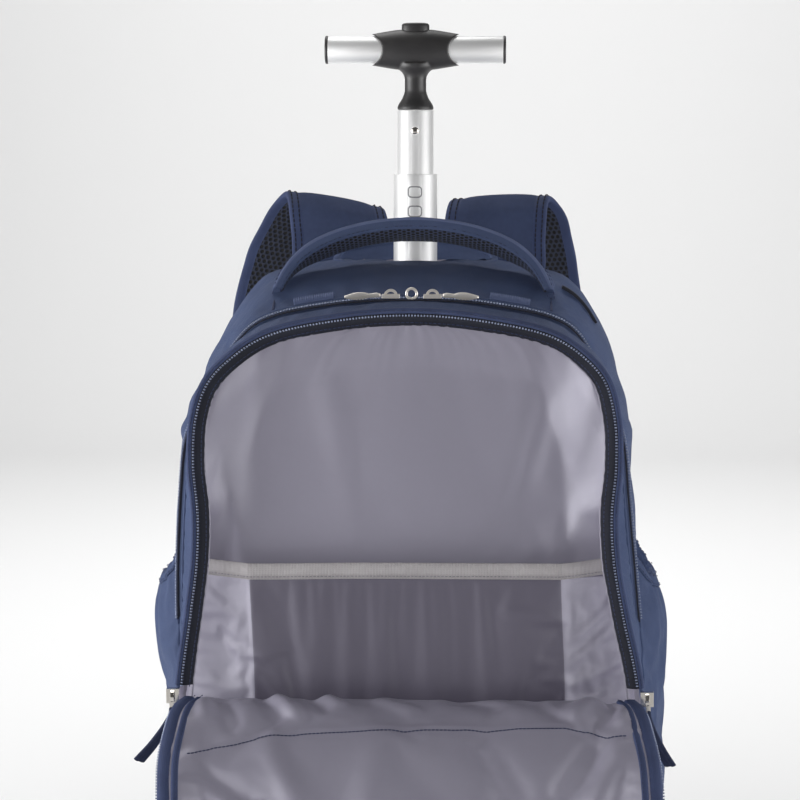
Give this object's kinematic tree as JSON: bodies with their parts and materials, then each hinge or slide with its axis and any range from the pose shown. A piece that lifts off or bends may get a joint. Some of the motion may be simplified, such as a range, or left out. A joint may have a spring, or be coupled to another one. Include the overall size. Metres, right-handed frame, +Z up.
{
  "type": "wheeled backpack",
  "caption": "Arch-topped wheeled backpack with its front flap unzipped and folded down, padded shoulder straps and a telescoping T handle.",
  "frame": {"origin": "on the ground, under the middle of the part's bounding box", "axes": "+Z up along the handle, -Y out of the bag's open front, +X to the right seen from the front"},
  "size_m": [0.3781, 0.3724, 0.6619],
  "materials": {
    "navy_fabric": "matt woven navy polyester",
    "dark_tape": "dark navy woven tape and webbing",
    "spacer_mesh": "black padded spacer mesh",
    "lining": "satin grey lining",
    "grey_tape": "light grey ribbed binding",
    "black_plastic": "moulded, fine satin",
    "grey_plastic": "moulded wheel hub",
    "rubber": "black, matt",
    "aluminium": "satin anodised tube",
    "chrome": "polished plated metal"
  },
  "bodies": {
    "bag": {"main_shell": "navy_fabric", "slot_welt": "navy_fabric", "back_panel": "spacer_mesh", "front_shell": "navy_fabric", "divider_panel": "lining", "lower_front": "navy_fabric", "sleeve_pocket": "lining", "sleeve_binding": "grey_tape", "front_flap": "navy_fabric", "flap_lining": "lining", "flap_band": "navy_fabric", "rim_tape": "dark_tape", "rim_coil": "dark_tape", "main_zip": "dark_tape", "side_pocket_left": "navy_fabric", "pocket_hem_left": "navy_fabric", "side_pocket_right": "navy_fabric", "pocket_hem_right": "navy_fabric", "carry_handle": "navy_fabric", "shoulder_strap_left": "navy_fabric", "strap_webbing_left": "dark_tape", "strap_buckle_left": "black_plastic", "shoulder_strap_right": "navy_fabric", "strap_webbing_right": "dark_tape", "strap_buckle_right": "black_plastic", "base_tube": "aluminium", "base_tray": "black_plastic", "axle_left": "chrome", "foot_left": "rubber", "axle_right": "chrome", "foot_right": "rubber", "slider_left": "chrome", "puller_left": "dark_tape", "slider_right": "chrome", "puller_right": "dark_tape", "top_slider_left": "chrome", "pull_tab_left": "chrome", "top_slider_right": "chrome", "pull_tab_right": "chrome", "lock_ring": "chrome", "zip_garage_left": "dark_tape", "zip_garage_right": "dark_tape", "shoulder_tab": "black_plastic"},
    "lower_pole": {"middle_tube": "aluminium"},
    "upper_pole": {"inner_tube": "aluminium", "grip_hub": "black_plastic", "grip_bar_left": "aluminium", "grip_bar_right": "aluminium", "bar_cap_left": "black_plastic", "bar_cap_right": "black_plastic"},
    "button": {"release_button": "black_plastic"},
    "catch": {"catch_button": "chrome"},
    "wheel_left": {"wheel_tyre_left": "rubber", "wheel_rim_left": "grey_plastic"},
    "wheel_right": {"wheel_tyre_right": "rubber", "wheel_rim_right": "grey_plastic"}
  },
  "joints": [
    {"name": "pole_lower_slide", "type": "slide", "parent": "bag", "child": "lower_pole", "axis": [0, 0, 1], "range_m": [-0.05, 0.165]},
    {"name": "pole_upper_slide", "type": "slide", "parent": "lower_pole", "child": "upper_pole", "axis": [0, 0, 1], "range_m": [-0.0455, 0.175]},
    {"name": "release_press", "type": "slide", "parent": "upper_pole", "child": "button", "axis": [0, 0, -1], "range_m": [0, 0.003], "stiffness_N_per_m": 800, "springref_m": -0.002},
    {"name": "catch_press", "type": "slide", "parent": "upper_pole", "child": "catch", "axis": [0, 1, 0], "range_m": [0, 0.0011], "stiffness_N_per_m": 600, "springref_m": -0.001},
    {"name": "wheel_left_turn", "type": "hinge", "parent": "bag", "child": "wheel_left", "pos_m": [-0.134, 0.10965, 0.03], "axis": [1, 0, 0], "continuous": true},
    {"name": "wheel_right_turn", "type": "hinge", "parent": "bag", "child": "wheel_right", "pos_m": [0.134, 0.10965, 0.03], "axis": [1, 0, 0], "continuous": true}
  ]
}
